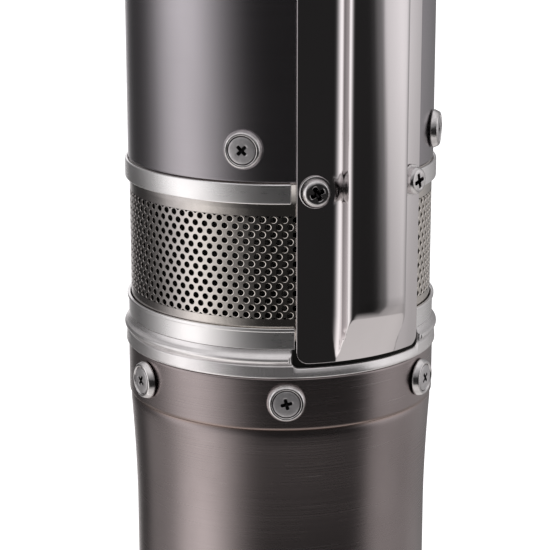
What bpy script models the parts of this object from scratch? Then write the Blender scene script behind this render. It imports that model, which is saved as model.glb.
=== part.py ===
# Borehole pump with its own motor, standing upright on the flat face of the motor's base.
# Units are metres, +Z is up, and the cable guard faces -Y. Angles are in degrees, from -Y towards +X.

import bpy
import bmesh
from math import cos, degrees, pi, radians, sin, sqrt, tan
from mathutils import Matrix, Vector

MM = 0.001
SEAT_GAP = 0.3 * MM
ROUND_STEPS = 48

# Radii of the turned pieces
PUMP_RADIUS = 48.0 * MM
MOTOR_RADIUS = 46.9 * MM
MOTOR_NECK_RADIUS = 48.3 * MM
MOTOR_MOUTH_RADIUS = 48.8 * MM
SHELL_WALL = 1.6 * MM
STRAINER_RADIUS = 47.7 * MM
STRAINER_SHEET = 0.8 * MM
BAND_SHEET = 1.0 * MM
BAND_NECK_SHEET = 0.6 * MM
BAND_FLANGE_HEIGHT = 1.0 * MM
COLLAR_RADIUS = 49.6 * MM
LIP_RADIUS = 50.0 * MM
BASE_RADIUS = 46.3 * MM
SLEEVE_RADIUS = 22.0 * MM
SHAFT_BORE_RADIUS = 8.0 * MM
STACK_RADIUS = 45.8 * MM
STATOR_RADIUS = 44.7 * MM

# Heights above the floor
BASE_TOP = 7.0 * MM
BASE_SPIGOT_TOP = 38.0 * MM
MOTOR_TAPER_BOTTOM = 220.0 * MM
MOUTH_SEAM = 252.1 * MM
MOTOR_SHELL_TOP = 268.4 * MM
LIP_GROOVE = 272.8 * MM
LIP_CREST = 274.6 * MM
COLLAR_TOP = 277.1 * MM
STRAINER_BOTTOM = COLLAR_TOP + SEAT_GAP
STRAINER_TOP = 327.8 * MM
LOWER_BAND_BOTTOM = 277.5 * MM
LOWER_BAND_TOP = 284.0 * MM
UPPER_BAND_BOTTOM = 321.6 * MM
UPPER_BAND_TOP = 327.6 * MM
PUMP_SHELL_BOTTOM = 329.0 * MM
PUMP_SHELL_TOP = 530.0 * MM
HEAD_TOP = 580.0 * MM

# Intake housing, a cage between the motor and the pump
FLANGE_THICKNESS = 6.5 * MM
CAGE_SPIGOT_TOP = 349.0 * MM
CAGE_RIB_ANGLES = (30, 90, 150, 210, 270, 330)
CAGE_RIB_THICKNESS = 4.0 * MM

# Cable guard, a pressed channel that stands off the shell
GUARD_SHEET = 1.0 * MM
GUARD_CLEARANCE = 0.3 * MM
GUARD_HALF_WIDTH = 26.5
GUARD_FOOT_ANGLE = 15.95
GUARD_RISE = 7.2 * MM
GUARD_WALL_TURN = 77.0
GUARD_FOOT_BEND = 4.9 * MM
GUARD_CROWN_BEND = 1.8 * MM
GUARD_BOTTOM = 273.6 * MM
GUARD_TOP = 533.0 * MM
GUARD_CORNER = 3.6 * MM
GUARD_HOLLOW_RADIUS = 5.4 * MM
GUARD_HOLLOW_SLOPE = 2.0 * MM
GUARD_RAMP_TOP = 288.2 * MM

# Openings left for the guard and the cable behind it
BAND_END_ANGLE = 28.3
STRAINER_END_ANGLE = 16.0
NOTCH_HALF_WIDTH = 28.2
NOTCH_FLOOR = 272.4 * MM
NOTCH_CORNER = 2.4 * MM

# Screws
PUMP_SCREW_ANGLES = (45, 142, 218, 315)
MOTOR_SCREW_ANGLES = (30, 90, 150, 210, 270, 330)
BASE_SCREW_ANGLES = (60, 180, 300)
GUARD_SCREW_ANGLE = 20.2
PUMP_SCREW_HEIGHT = 337.6 * MM
HEAD_SCREW_HEIGHT = 521.3 * MM
MOTOR_SCREW_HEIGHT = 261.2 * MM
BASE_SCREW_HEIGHT = 22.0 * MM
GUARD_SCREW_LOW = 325.3 * MM
GUARD_SCREW_HIGH = 512.0 * MM
SHANK_RADIUS = 1.9 * MM
SHANK_DEPTH = 6.5 * MM
SCREW_HOLE_RADIUS = 2.4 * MM
SCREW_HOLE_DEPTH = 9.0 * MM
COUNTERSUNK_HEAD_RADIUS = 4.05 * MM
COUNTERSUNK_HEAD_TOP = 2.0 * MM
WASHER_RADIUS = 5.9 * MM
PAN_HEAD_RADIUS = 4.1 * MM
PAN_HEAD_TOP = 3.1 * MM
PAN_WASHER_RADIUS = 4.8 * MM

# Discharge head
HEAD_SPIGOT_BOTTOM = 504.0 * MM
HEAD_SHOULDER = 539.0 * MM
DOME_TOP = 553.0 * MM
SOCKET_FLATS = 50.0 * MM
SOCKET_BOTTOM = 550.0 * MM
OUTLET_RADIUS = 19.5 * MM
OUTLET_DEPTH = 24.0 * MM
WATERWAY_RADIUS = 14.0 * MM
WATERWAY_FLOOR = 536.0 * MM
EAR_THICKNESS = 7.0 * MM
EAR_CENTRE = (37.0 * MM, 558.0 * MM)
EAR_RADIUS = 8.5 * MM
EYE_RADIUS = 4.5 * MM

# Gland on the motor's top, behind the guard
GLAND_DISTANCE = 35.0 * MM
GLAND_NUT_RADIUS = 8.0 * MM
GLAND_NECK_RADIUS = 6.2 * MM
GLAND_BORE_RADIUS = 4.0 * MM
GLAND_NUT_HEIGHT = 6.0 * MM
GLAND_HEIGHT = 13.0 * MM

# Plug in the base
PLUG_RADIUS = 8.0 * MM
PLUG_DISTANCE = 28.0 * MM
PLUG_RECESS_DEPTH = 6.0 * MM
PLUG_THICKNESS = 4.0 * MM
PLUG_SOCKET_RADIUS = 3.4 * MM
PLUG_SOCKET_DEPTH = 2.5 * MM

# Colour, metallic value and roughness of each finish
FINISHES = {
    "satin_steel": ((0.42, 0.40, 0.40), 1.0, 0.28),
    "polished_steel": ((0.72, 0.70, 0.70), 1.0, 0.10),
    "bright_steel": ((0.74, 0.72, 0.70), 1.0, 0.20),
    "cast_steel": ((0.50, 0.49, 0.48), 1.0, 0.42),
    "screw_steel": ((0.66, 0.64, 0.64), 1.0, 0.22),
    "gland_rubber": ((0.03, 0.03, 0.03), 0.0, 0.65),
}


def clear_scene():
    for old in list(bpy.data.objects):
        bpy.data.objects.remove(old, do_unlink=True)


def make_finishes():
    made = {}
    for name, (colour, metallic, roughness) in FINISHES.items():
        material = bpy.data.materials.new(name)
        material.use_nodes = True
        shader = material.node_tree.nodes["Principled BSDF"]
        shader.inputs["Base Color"].default_value = (*colour, 1.0)
        shader.inputs["Metallic"].default_value = metallic
        shader.inputs["Roughness"].default_value = roughness
        material.diffuse_color = (*colour, 1.0)
        made[name] = material
    return made


def direction(angle):
    """Unit vector pointing outwards at an angle from -Y towards +X."""
    return Vector((sin(radians(angle)), -cos(radians(angle)), 0.0))


def polar(radius, angle, height):
    return direction(angle) * radius + Vector((0.0, 0.0, height))


def outward_turn(angle):
    """Rotation that carries local +Z to the outward direction at that angle, with local +Y kept upwards."""
    across = Vector((cos(radians(angle)), sin(radians(angle)), 0.0))
    upwards = Vector((0.0, 0.0, 1.0))
    return Matrix((across, upwards, direction(angle))).transposed().to_4x4()


def finished_mesh(name, shape):
    """The bmesh as a mesh with outward faces, smooth except at its sharp edges."""
    bmesh.ops.recalc_face_normals(shape, faces=shape.faces)
    mesh = bpy.data.meshes.new(name)
    shape.to_mesh(mesh)
    shape.free()
    mesh.shade_smooth()
    mesh.set_sharp_from_angle(angle=radians(35))
    return mesh


def add_object(name, mesh, finish=None, matrix=None):
    made = bpy.data.objects.new(name, mesh)
    bpy.context.scene.collection.objects.link(made)
    if finish is not None and not mesh.materials:
        mesh.materials.append(finish)
    if matrix is not None:
        made.matrix_world = matrix
    return made


def turned_shape(outline, steps=ROUND_STEPS, start=0.0, end=360.0):
    """A closed outline of (radius, height) points carried round the Z axis, with end faces on a part turn."""
    shape = bmesh.new()
    full = end - start >= 360.0
    count = steps if full else steps + 1
    rings = []
    for radius, height in outline:
        if radius == 0.0:
            pole = shape.verts.new((0.0, 0.0, height))
            rings.append([pole] * count)
            continue
        angles = [start + (end - start) * step / steps for step in range(count)]
        rings.append([shape.verts.new(polar(radius, angle, height)) for angle in angles])
    for ring, following in zip(rings, rings[1:] + rings[:1]):
        for step in range(steps):
            later = (step + 1) % count
            corners = [ring[step], following[step], following[later], ring[later]]
            corners = list(dict.fromkeys(corners))
            if len(corners) > 2:
                shape.faces.new(corners)
    if not full:
        shape.faces.new([ring[0] for ring in rings])
        shape.faces.new([ring[-1] for ring in rings])
    return shape


def box_shape(low, high):
    shape = bmesh.new()
    size = Vector(high) - Vector(low)
    middle = (Vector(high) + Vector(low)) / 2
    bmesh.ops.create_cube(shape, size=1.0, matrix=Matrix.Translation(middle) @ Matrix.Diagonal((*size, 1.0)))
    return shape


def prism_shape(corners, low, high):
    """A flat outline of (x, y) corners raised from one height to another."""
    shape = bmesh.new()
    bottom = shape.faces.new([shape.verts.new((x, y, low)) for x, y in corners])
    top = bmesh.ops.extrude_face_region(shape, geom=[bottom], use_keep_orig=True)["geom"]
    for part in top:
        if isinstance(part, bmesh.types.BMVert):
            part.co.z = high
    return shape


def merged_shape(shapes):
    """Several shapes in one bmesh, as they are, with nothing joined."""
    merged = bmesh.new()
    for shape in shapes:
        carrier = bpy.data.meshes.new("carrier")
        bmesh.ops.recalc_face_normals(shape, faces=shape.faces)
        shape.to_mesh(carrier)
        shape.free()
        merged.from_mesh(carrier)
        bpy.data.meshes.remove(carrier)
    return merged


def moved(shape, matrix):
    bmesh.ops.transform(shape, matrix=matrix, verts=shape.verts)
    return shape


def boolean(target, operation, shape, label):
    """Cuts a shape from an object, or joins it on, with a hidden helper object."""
    helper = add_object(target.name + "_" + label, finished_mesh(label, shape))
    helper.hide_render = True
    helper.display_type = "WIRE"
    step = target.modifiers.new(label, "BOOLEAN")
    step.operation = operation
    step.solver = "EXACT"
    step.object = helper
    return target


def screw_holes(places, radius=SCREW_HOLE_RADIUS, depth=SCREW_HOLE_DEPTH, outside=4.0 * MM):
    """Round cutters that point at the axis. A place is (angle, height, radius of the surface there)."""
    cutters = []
    for angle, height, surface in places:
        cutter = turned_shape([(0.0, -depth), (radius, -depth), (radius, outside), (0.0, outside)], steps=10)
        cutters.append(moved(cutter, Matrix.Translation(polar(surface, angle, height)) @ outward_turn(angle)))
    return merged_shape(cutters)


def at_height(angles, height, surface):
    return [(angle, height, surface) for angle in angles]


def guard_screw_angles():
    return (GUARD_SCREW_ANGLE, -GUARD_SCREW_ANGLE)


def motor_base(finishes):
    """Cap in the lower end of the motor shell, with the flat face that the pump stands on."""
    spigot = MOTOR_RADIUS - SHELL_WALL - SEAT_GAP
    chamfer = 2.4 * MM
    outline = [
        (0.0, 0.0),
        (BASE_RADIUS - chamfer, 0.0),
        (BASE_RADIUS, chamfer),
        (BASE_RADIUS, BASE_TOP),
        (spigot, BASE_TOP),
        (spigot, BASE_SPIGOT_TOP),
        (0.0, BASE_SPIGOT_TOP),
    ]
    mesh = finished_mesh("motor_base", turned_shape(outline))
    base = add_object("motor_base", mesh, finishes["cast_steel"])
    recess = PLUG_RADIUS + SEAT_GAP
    outline = [(0.0, -SEAT_GAP), (recess, -SEAT_GAP), (recess, PLUG_RECESS_DEPTH), (0.0, PLUG_RECESS_DEPTH)]
    cutter = moved(turned_shape(outline, steps=24), Matrix.Translation((0.0, PLUG_DISTANCE, 0.0)))
    boolean(base, "DIFFERENCE", cutter, "plug_recess")
    places = at_height(BASE_SCREW_ANGLES, BASE_SCREW_HEIGHT, MOTOR_RADIUS)
    boolean(base, "DIFFERENCE", screw_holes(places), "screw_holes")


def core(name, radius, bottom, top, finishes):
    """Solid cylinder that fills a shell: the stack of pump stages, or the motor's wound core."""
    outline = [(0.0, bottom), (radius, bottom), (radius, top), (0.0, top)]
    add_object(name, finished_mesh(name, turned_shape(outline)), finishes["cast_steel"])


def motor_fill_plug(finishes):
    """Socket plug, sunk in the base so that it stays clear of the floor."""
    bottom = PLUG_RECESS_DEPTH - SEAT_GAP - PLUG_THICKNESS
    top = PLUG_RECESS_DEPTH - SEAT_GAP
    outline = [
        (0.0, bottom + PLUG_SOCKET_DEPTH),
        (PLUG_SOCKET_RADIUS, bottom + PLUG_SOCKET_DEPTH),
        (PLUG_SOCKET_RADIUS, bottom),
        (PLUG_RADIUS - 0.8 * MM, bottom),
        (PLUG_RADIUS, bottom + 0.8 * MM),
        (PLUG_RADIUS, top),
        (0.0, top),
    ]
    mesh = finished_mesh("motor_fill_plug", turned_shape(outline, steps=24))
    place = Matrix.Translation((0.0, PLUG_DISTANCE, 0.0))
    add_object("motor_fill_plug", mesh, finishes["screw_steel"], place)


def motor_shell(finishes):
    """Tube that widens towards its mouth, where it takes the collar, with a soft step at the seam."""
    inner = MOTOR_RADIUS - SHELL_WALL
    neck = MOTOR_NECK_RADIUS - SHELL_WALL
    mouth = MOTOR_MOUTH_RADIUS - SHELL_WALL
    bottom = BASE_TOP + SEAT_GAP
    slope = 1.2 * MM
    outline = [
        (inner, bottom),
        (MOTOR_RADIUS, bottom),
        (MOTOR_RADIUS, MOTOR_TAPER_BOTTOM),
        (MOTOR_NECK_RADIUS, MOUTH_SEAM - slope),
        (MOTOR_MOUTH_RADIUS, MOUTH_SEAM + slope),
        (MOTOR_MOUTH_RADIUS, MOTOR_SHELL_TOP),
        (mouth, MOTOR_SHELL_TOP),
        (mouth, MOUTH_SEAM + slope),
        (neck, MOUTH_SEAM - slope),
        (inner, MOTOR_TAPER_BOTTOM),
    ]
    mesh = finished_mesh("motor_shell", turned_shape(outline))
    shell = add_object("motor_shell", mesh, finishes["satin_steel"])
    places = at_height(BASE_SCREW_ANGLES, BASE_SCREW_HEIGHT, MOTOR_RADIUS)
    places += at_height(MOTOR_SCREW_ANGLES, MOTOR_SCREW_HEIGHT, MOTOR_MOUTH_RADIUS)
    boolean(shell, "DIFFERENCE", screw_holes(places), "screw_holes")


def notch_shape():
    """Room in the collar's lip for the foot of the guard, with its lower corners rounded."""
    height = COLLAR_TOP + 4.0 * MM
    corner_steps = 4
    corner_angle = degrees(NOTCH_CORNER / COLLAR_RADIUS)
    side = [(NOTCH_HALF_WIDTH, height)]
    for step in range(corner_steps + 1):
        turn = radians(90.0 * step / corner_steps)
        across = NOTCH_HALF_WIDTH - corner_angle * (1 - cos(turn))
        side.append((across, NOTCH_FLOOR + NOTCH_CORNER * (1 - sin(turn))))
    middle = [(angle, NOTCH_FLOOR) for angle in (15, 5, -5, -15)]
    top = [(angle, height) for angle in (-15, -5, 5, 15)]
    outline = side + middle + [(-angle, z) for angle, z in reversed(side)] + top
    inner, outer = 48.0 * MM, 60.0 * MM
    shape = bmesh.new()
    near = [shape.verts.new(polar(inner, angle, z)) for angle, z in outline]
    far = [shape.verts.new(polar(outer, angle, z)) for angle, z in outline]
    shape.faces.new(near)
    shape.faces.new(far)
    for index in range(len(outline)):
        later = (index + 1) % len(outline)
        shape.faces.new((near[index], near[later], far[later], far[index]))
    bmesh.ops.triangulate(shape, faces=shape.faces)
    return shape


def motor_collar(finishes):
    """Ring on the motor's mouth: a plain skirt, a groove and a rolled lip that is notched for the guard."""
    spigot = MOTOR_MOUTH_RADIUS - SHELL_WALL - SEAT_GAP
    bore = SHAFT_BORE_RADIUS
    foot = MOTOR_SHELL_TOP + SEAT_GAP
    outline = [
        (bore, MOUTH_SEAM + 2.4 * MM),
        (spigot, MOUTH_SEAM + 2.4 * MM),
        (spigot, foot),
        (COLLAR_RADIUS, foot),
        (COLLAR_RADIUS, LIP_GROOVE - 0.3 * MM),
        (COLLAR_RADIUS - 0.4 * MM, LIP_GROOVE),
        (LIP_RADIUS, LIP_GROOVE + 0.6 * MM),
        (LIP_RADIUS, LIP_CREST),
        (LIP_RADIUS - 0.5 * MM, LIP_CREST + 1.2 * MM),
        (48.3 * MM, COLLAR_TOP),
        (bore, COLLAR_TOP),
    ]
    mesh = finished_mesh("motor_collar", turned_shape(outline))
    collar = add_object("motor_collar", mesh, finishes["cast_steel"])
    boolean(collar, "DIFFERENCE", notch_shape(), "guard_notch")
    places = at_height(MOTOR_SCREW_ANGLES, MOTOR_SCREW_HEIGHT, MOTOR_MOUTH_RADIUS)
    boolean(collar, "DIFFERENCE", screw_holes(places), "screw_holes")


def intake_housing(finishes):
    """Casting between motor and pump: two flanges held apart by a shaft sleeve and ribs, open all round."""
    flange = STRAINER_RADIUS - STRAINER_SHEET - SEAT_GAP
    spigot = PUMP_RADIUS - SHELL_WALL - SEAT_GAP
    bottom = COLLAR_TOP + SEAT_GAP
    lower_top = bottom + FLANGE_THICKNESS
    upper_bottom = UPPER_BAND_BOTTOM - 1.5 * MM
    shoulder = PUMP_SHELL_BOTTOM - SEAT_GAP
    spigot_top = CAGE_SPIGOT_TOP
    outline = [
        (SHAFT_BORE_RADIUS, bottom),
        (flange, bottom),
        (flange, lower_top),
        (SLEEVE_RADIUS, lower_top),
        (SLEEVE_RADIUS, upper_bottom),
        (flange, upper_bottom),
        (flange, shoulder),
        (spigot, shoulder),
        (spigot, spigot_top),
        (SHAFT_BORE_RADIUS, spigot_top),
    ]
    mesh = finished_mesh("intake_housing", turned_shape(outline))
    housing = add_object("intake_housing", mesh, finishes["cast_steel"])
    overlap = 1.0 * MM
    ribs = []
    for angle in CAGE_RIB_ANGLES:
        rib = box_shape(
            (-CAGE_RIB_THICKNESS / 2, SLEEVE_RADIUS - overlap, lower_top - overlap),
            (CAGE_RIB_THICKNESS / 2, flange - overlap, upper_bottom + overlap),
        )
        ribs.append(moved(rib, Matrix.Rotation(radians(angle), 4, "Z") @ Matrix.Rotation(pi, 4, "Z")))
    boolean(housing, "UNION", merged_shape(ribs), "ribs")
    places = at_height(PUMP_SCREW_ANGLES, PUMP_SCREW_HEIGHT, PUMP_RADIUS)
    places += at_height(guard_screw_angles(), GUARD_SCREW_LOW, PUMP_RADIUS)
    boolean(housing, "DIFFERENCE", screw_holes(places), "screw_holes")


def strainer_screen(finishes):
    """Sheet rolled round the cage, with its ends apart behind the guard so that the cable can pass."""
    inner = STRAINER_RADIUS - STRAINER_SHEET
    outline = [
        (inner, STRAINER_BOTTOM),
        (STRAINER_RADIUS, STRAINER_BOTTOM),
        (STRAINER_RADIUS, STRAINER_TOP),
        (inner, STRAINER_TOP),
    ]
    shape = turned_shape(outline, 44, STRAINER_END_ANGLE, 360.0 - STRAINER_END_ANGLE)
    screen = add_object("strainer_screen", finished_mesh("strainer_screen", shape), finishes["bright_steel"])
    places = at_height(guard_screw_angles(), GUARD_SCREW_LOW, PUMP_RADIUS)
    boolean(screen, "DIFFERENCE", screw_holes(places), "screw_holes")


def band(name, outline, finishes):
    """Strap round the strainer, ending on each side of the guard."""
    shape = turned_shape(outline, 40, BAND_END_ANGLE, 360.0 - BAND_END_ANGLE)
    add_object(name, finished_mesh(name, shape), finishes["bright_steel"])


def bands(finishes):
    """The upper strap is flat. The lower one is thinner, with a flange along its top edge."""
    inner = STRAINER_RADIUS + SEAT_GAP
    outer = inner + BAND_SHEET
    neck = inner + BAND_NECK_SHEET
    flange = LOWER_BAND_TOP - BAND_FLANGE_HEIGHT
    upper = [
        (inner, UPPER_BAND_BOTTOM),
        (outer, UPPER_BAND_BOTTOM),
        (outer, UPPER_BAND_TOP),
        (inner, UPPER_BAND_TOP),
    ]
    lower = [
        (inner, LOWER_BAND_BOTTOM),
        (neck, LOWER_BAND_BOTTOM),
        (neck, flange),
        (outer, flange),
        (outer, LOWER_BAND_TOP),
        (inner, LOWER_BAND_TOP),
    ]
    band("upper_band", upper, finishes)
    band("lower_band", lower, finishes)


def pump_shell(finishes):
    """Plain tube that holds the pump's stages."""
    inner = PUMP_RADIUS - SHELL_WALL
    outline = [
        (inner, PUMP_SHELL_BOTTOM),
        (PUMP_RADIUS, PUMP_SHELL_BOTTOM),
        (PUMP_RADIUS, PUMP_SHELL_TOP),
        (inner, PUMP_SHELL_TOP),
    ]
    shell = add_object("pump_shell", finished_mesh("pump_shell", turned_shape(outline)), finishes["satin_steel"])
    places = at_height(PUMP_SCREW_ANGLES, PUMP_SCREW_HEIGHT, PUMP_RADIUS)
    places += at_height(PUMP_SCREW_ANGLES, HEAD_SCREW_HEIGHT, PUMP_RADIUS)
    places += at_height(guard_screw_angles(), GUARD_SCREW_HIGH, PUMP_RADIUS)
    boolean(shell, "DIFFERENCE", screw_holes(places), "screw_holes")


def hexagon(flats):
    corner = flats / sqrt(3.0)
    return [(corner * cos(radians(angle)), corner * sin(radians(angle))) for angle in range(0, 360, 60)]


def ear_shape(side):
    """Lug for the safety rope: a flat plate with a round end, standing on the dome."""
    across, height = EAR_CENTRE
    root = 22.0 * MM
    foot = DOME_TOP - 18.0 * MM
    steps = 8
    corners = [(root, foot), (across + EAR_RADIUS, foot)]
    for step in range(steps + 1):
        turn = radians(100.0 * step / steps)
        corners.append((across + EAR_RADIUS * cos(turn), height + EAR_RADIUS * sin(turn)))
    corners.append((root, height + 2.0 * MM))
    plate = prism_shape([(side * x, z) for x, z in corners], -EAR_THICKNESS / 2, EAR_THICKNESS / 2)
    return moved(plate, Matrix.Rotation(pi / 2, 4, "X"))


def discharge_head(finishes):
    """Casting on the pump: spigot, dome, six-sided outlet socket and an ear on each side."""
    spigot = PUMP_RADIUS - SHELL_WALL - SEAT_GAP
    foot = PUMP_SHELL_TOP + SEAT_GAP
    outline = [
        (0.0, HEAD_SPIGOT_BOTTOM),
        (spigot, HEAD_SPIGOT_BOTTOM),
        (spigot, foot),
        (PUMP_RADIUS, foot),
        (PUMP_RADIUS, HEAD_SHOULDER - 1.5 * MM),
        (PUMP_RADIUS - 1.5 * MM, HEAD_SHOULDER),
        (38.0 * MM, HEAD_SHOULDER + 3.5 * MM),
        (30.0 * MM, DOME_TOP - 5.0 * MM),
        (27.0 * MM, DOME_TOP),
        (0.0, DOME_TOP),
    ]
    mesh = finished_mesh("discharge_head", turned_shape(outline))
    head = add_object("discharge_head", mesh, finishes["cast_steel"])
    socket = prism_shape(hexagon(SOCKET_FLATS), SOCKET_BOTTOM, HEAD_TOP)
    boolean(head, "UNION", socket, "socket")
    boolean(head, "UNION", merged_shape([ear_shape(1), ear_shape(-1)]), "ears")
    reach = EAR_THICKNESS
    across, height = EAR_CENTRE
    cutters = []
    for side in (1, -1):
        eye = turned_shape([(0.0, -reach), (EYE_RADIUS, -reach), (EYE_RADIUS, reach), (0.0, reach)], 20)
        place = Matrix.Translation((side * across, 0.0, height)) @ Matrix.Rotation(pi / 2, 4, "X")
        cutters.append(moved(eye, place))
    above = HEAD_TOP + 5.0 * MM
    step_height = HEAD_TOP - OUTLET_DEPTH
    bore = [
        (0.0, WATERWAY_FLOOR),
        (WATERWAY_RADIUS, WATERWAY_FLOOR),
        (WATERWAY_RADIUS, step_height),
        (OUTLET_RADIUS, step_height),
        (OUTLET_RADIUS, above),
        (0.0, above),
    ]
    cutters.append(turned_shape(bore, 48))
    boolean(head, "DIFFERENCE", merged_shape(cutters), "bores")
    places = at_height(PUMP_SCREW_ANGLES, HEAD_SCREW_HEIGHT, PUMP_RADIUS)
    places += at_height(guard_screw_angles(), GUARD_SCREW_HIGH, PUMP_RADIUS)
    boolean(head, "DIFFERENCE", screw_holes(places), "screw_holes")


def smooth_step(share):
    share = min(1.0, max(0.0, share))
    return share * share * (3.0 - 2.0 * share)


def guard_wall_runs():
    """Lengths along the flange of the wall's foot bend, its straight part and its crown bend."""
    turn = radians(GUARD_WALL_TURN)
    straight = GUARD_RISE - (GUARD_FOOT_BEND + GUARD_CROWN_BEND) * (1 - cos(turn))
    return GUARD_FOOT_BEND * sin(turn), straight / tan(turn), GUARD_CROWN_BEND * sin(turn)


def guard_wall_angles():
    """Angles at which the section has its points across the wall, from the crown to the flange."""
    turns = [radians(GUARD_WALL_TURN) * step / 4 for step in range(5)]
    whole = sum(guard_wall_runs())
    runs = [whole - GUARD_CROWN_BEND * sin(turn) for turn in turns]
    runs += [GUARD_FOOT_BEND * sin(turn) for turn in reversed(turns)]
    return [GUARD_FOOT_ANGLE - degrees(run / PUMP_RADIUS) for run in runs]


def guard_wall(angle):
    """Height of the channel's wall: a bend at its foot, a straight part and a bend at its crown."""
    foot, straight, crown = guard_wall_runs()
    inward = radians(GUARD_FOOT_ANGLE - abs(angle)) * PUMP_RADIUS
    left = foot + straight + crown - inward
    if inward <= 0.0:
        return 0.0
    if left <= 0.0:
        return GUARD_RISE
    if inward < foot:
        return GUARD_FOOT_BEND - sqrt(GUARD_FOOT_BEND**2 - inward**2)
    if left < crown:
        return GUARD_RISE - GUARD_CROWN_BEND + sqrt(GUARD_CROWN_BEND**2 - left**2)
    turn = radians(GUARD_WALL_TURN)
    return GUARD_RISE - GUARD_CROWN_BEND * (1 - cos(turn)) - (left - crown) * tan(turn)


def guard_rise(angle, height):
    """How far the guard stands out of its flanges: a channel with steep walls, closed by a ramp at its foot.

    Beside each screw the wall has a rounded hollow, so that a screwdriver can reach the head.
    """
    ramp = GUARD_RISE * (height - GUARD_BOTTOM) / (GUARD_RAMP_TOP - GUARD_BOTTOM)
    across = radians(GUARD_SCREW_ANGLE - abs(angle)) * PUMP_RADIUS
    along = min(abs(height - GUARD_SCREW_LOW), abs(height - GUARD_SCREW_HIGH))
    hollow = (sqrt(across**2 + along**2) - GUARD_HOLLOW_RADIUS) / GUARD_HOLLOW_SLOPE
    return min(guard_wall(angle), max(0.0, ramp), GUARD_RISE * smooth_step(hollow))


def guard_edge(angle):
    """Height of the guard's lower edge, with its two corners rounded."""
    distance = radians(abs(angle)) * PUMP_RADIUS
    inset = distance - (radians(GUARD_HALF_WIDTH) * PUMP_RADIUS - GUARD_CORNER)
    if inset <= 0.0:
        return GUARD_BOTTOM
    inset = min(inset, GUARD_CORNER)
    return GUARD_BOTTOM + GUARD_CORNER - sqrt(GUARD_CORNER**2 - inset**2)


def cable_guard(finishes):
    """Pressed sheet channel over the cable, from the collar to the discharge head, open at its top."""
    wall = guard_wall_angles()
    corner_angle = degrees(GUARD_CORNER / PUMP_RADIUS)
    corner = [GUARD_HALF_WIDTH - corner_angle * (1 - sin(radians(turn))) for turn in (0, 22.5, 45, 67.5, 90)]
    half = [0.0, wall[0] / 2] + wall + [GUARD_SCREW_ANGLE - 2.0] + corner
    angles = [-angle for angle in reversed(half[1:])] + half
    inner = PUMP_RADIUS + GUARD_CLEARANCE
    rows = 7
    ramp_step = (GUARD_RAMP_TOP - GUARD_BOTTOM) / rows
    hollow_rows = [reach * MM for reach in (-6.6, -5.6, -4.4, -2.4, 0.0, 2.4, 4.4, 5.6, 6.6)]
    levels = [GUARD_BOTTOM + ramp_step * row for row in range(rows + 1)]
    shape = bmesh.new()
    grid = []
    for angle in angles:
        edge = guard_edge(angle)
        squeeze = (GUARD_RAMP_TOP - edge) / (GUARD_RAMP_TOP - GUARD_BOTTOM)
        column = [edge + (level - GUARD_BOTTOM) * squeeze for level in levels]
        column += [screw + reach for screw in (GUARD_SCREW_LOW, GUARD_SCREW_HIGH) for reach in hollow_rows]
        column.append(GUARD_TOP)
        grid.append([shape.verts.new(polar(inner + guard_rise(angle, z), angle, z)) for z in column])
    for left, right in zip(grid, grid[1:]):
        for row in range(len(left) - 1):
            shape.faces.new((left[row], right[row], right[row + 1], left[row + 1]))
    guard = add_object("cable_guard", finished_mesh("cable_guard", shape), finishes["polished_steel"])
    sheet = guard.modifiers.new("sheet", "SOLIDIFY")
    sheet.thickness = GUARD_SHEET
    sheet.offset = 1.0
    sheet.use_even_offset = True
    places = at_height(guard_screw_angles(), GUARD_SCREW_LOW, PUMP_RADIUS)
    places += at_height(guard_screw_angles(), GUARD_SCREW_HIGH, PUMP_RADIUS)
    boolean(guard, "DIFFERENCE", screw_holes(places), "screw_holes")


def cable_gland(finishes):
    """Gland that seals the cable into the motor, on the cage's lower flange behind the guard."""
    foot = COLLAR_TOP + 2 * SEAT_GAP + FLANGE_THICKNESS
    nut_top = foot + GLAND_NUT_HEIGHT
    top = foot + GLAND_HEIGHT
    outline = [
        (0.0, foot),
        (GLAND_NUT_RADIUS, foot),
        (GLAND_NUT_RADIUS, nut_top),
        (GLAND_NECK_RADIUS, nut_top + 0.6 * MM),
        (GLAND_NECK_RADIUS, top),
        (GLAND_BORE_RADIUS, top),
        (GLAND_BORE_RADIUS, foot + 2.0 * MM),
        (0.0, foot + 2.0 * MM),
    ]
    mesh = finished_mesh("cable_gland", turned_shape(outline, steps=18))
    place = Matrix.Translation((0.0, -GLAND_DISTANCE, 0.0))
    add_object("cable_gland", mesh, finishes["gland_rubber"], place)


def cup_washer_mesh():
    """Raised washer with a conical seat for the screw's head."""
    seat = 2.6 * MM
    outline = [
        (seat, 0.0),
        (WASHER_RADIUS, 0.0),
        (WASHER_RADIUS, 0.5 * MM),
        (4.9 * MM, 2.1 * MM),
        (4.5 * MM, 2.1 * MM),
    ]
    return finished_mesh("cup_washer", turned_shape(outline, steps=16))


def countersunk_screw_mesh():
    outline = [
        (0.0, -SHANK_DEPTH),
        (SHANK_RADIUS, -SHANK_DEPTH),
        (SHANK_RADIUS, 0.0),
        (COUNTERSUNK_HEAD_RADIUS, COUNTERSUNK_HEAD_TOP),
        (0.0, COUNTERSUNK_HEAD_TOP),
    ]
    return finished_mesh("countersunk_screw", turned_shape(outline, steps=12))


def pan_screw_mesh():
    """Pan head screw with the plain washer that it is sold with."""
    washer_top = 0.7 * MM
    outline = [
        (0.0, -SHANK_DEPTH),
        (SHANK_RADIUS, -SHANK_DEPTH),
        (SHANK_RADIUS, 0.0),
        (PAN_WASHER_RADIUS, 0.0),
        (PAN_WASHER_RADIUS, washer_top),
        (PAN_HEAD_RADIUS, washer_top),
        (PAN_HEAD_RADIUS - 0.6 * MM, PAN_HEAD_TOP - 0.4 * MM),
        (0.0, PAN_HEAD_TOP),
    ]
    return finished_mesh("pan_screw", turned_shape(outline, steps=12))


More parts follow.
